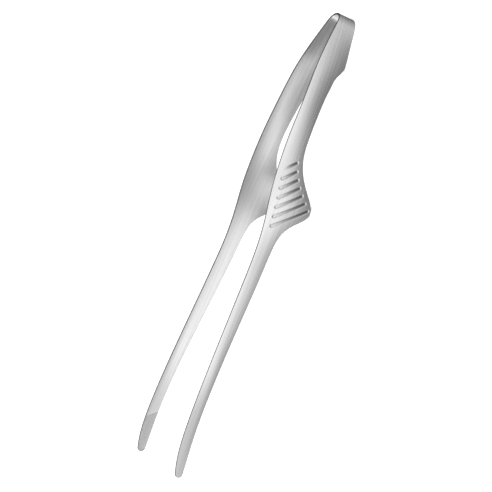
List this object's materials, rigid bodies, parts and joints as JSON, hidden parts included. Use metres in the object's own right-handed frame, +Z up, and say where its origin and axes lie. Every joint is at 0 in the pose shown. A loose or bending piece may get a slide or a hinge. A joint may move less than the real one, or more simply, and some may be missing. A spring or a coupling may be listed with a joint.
{
  "type": "spring tongs",
  "caption": "Long one-piece steel spring tongs with crowned arms, a wing with finger grooves on each arm and toothed tips.",
  "frame": {"origin": "middle of the tongs at the height of the surface that they stand on", "axes": "+X is the squeeze direction, out of the right arm's outer face; +Y runs along the tongs from the tips to the bow; +Z is up, with the tongs standing on the bow's lower edge and the two wings"},
  "size_m": [0.0602, 0.2994, 0.0458],
  "materials": {
    "satin_steel": "satin brushed along the arms"
  },
  "bodies": {
    "bow": {"spring_bow": "satin_steel"},
    "right": {"right_arm": "satin_steel"},
    "left": {"left_arm": "satin_steel"}
  },
  "joints": [
    {"name": "right_squeeze", "type": "hinge", "parent": "bow", "child": "right", "pos_m": [0.00612, 0.13951, 0.001], "axis": [0, -0.1115, -0.9938], "range_deg": [0, 5.6], "stiffness_Nm_per_rad": 9.6},
    {"name": "left_squeeze", "type": "hinge", "parent": "bow", "child": "left", "pos_m": [-0.00612, 0.13951, 0.001], "axis": [0, 0.1115, 0.9938], "range_deg": [0, 5.6], "stiffness_Nm_per_rad": 9.6}
  ],
  "couplings": [
    {"joint": "left_squeeze", "follows": "right_squeeze", "ratio": 1}
  ]
}
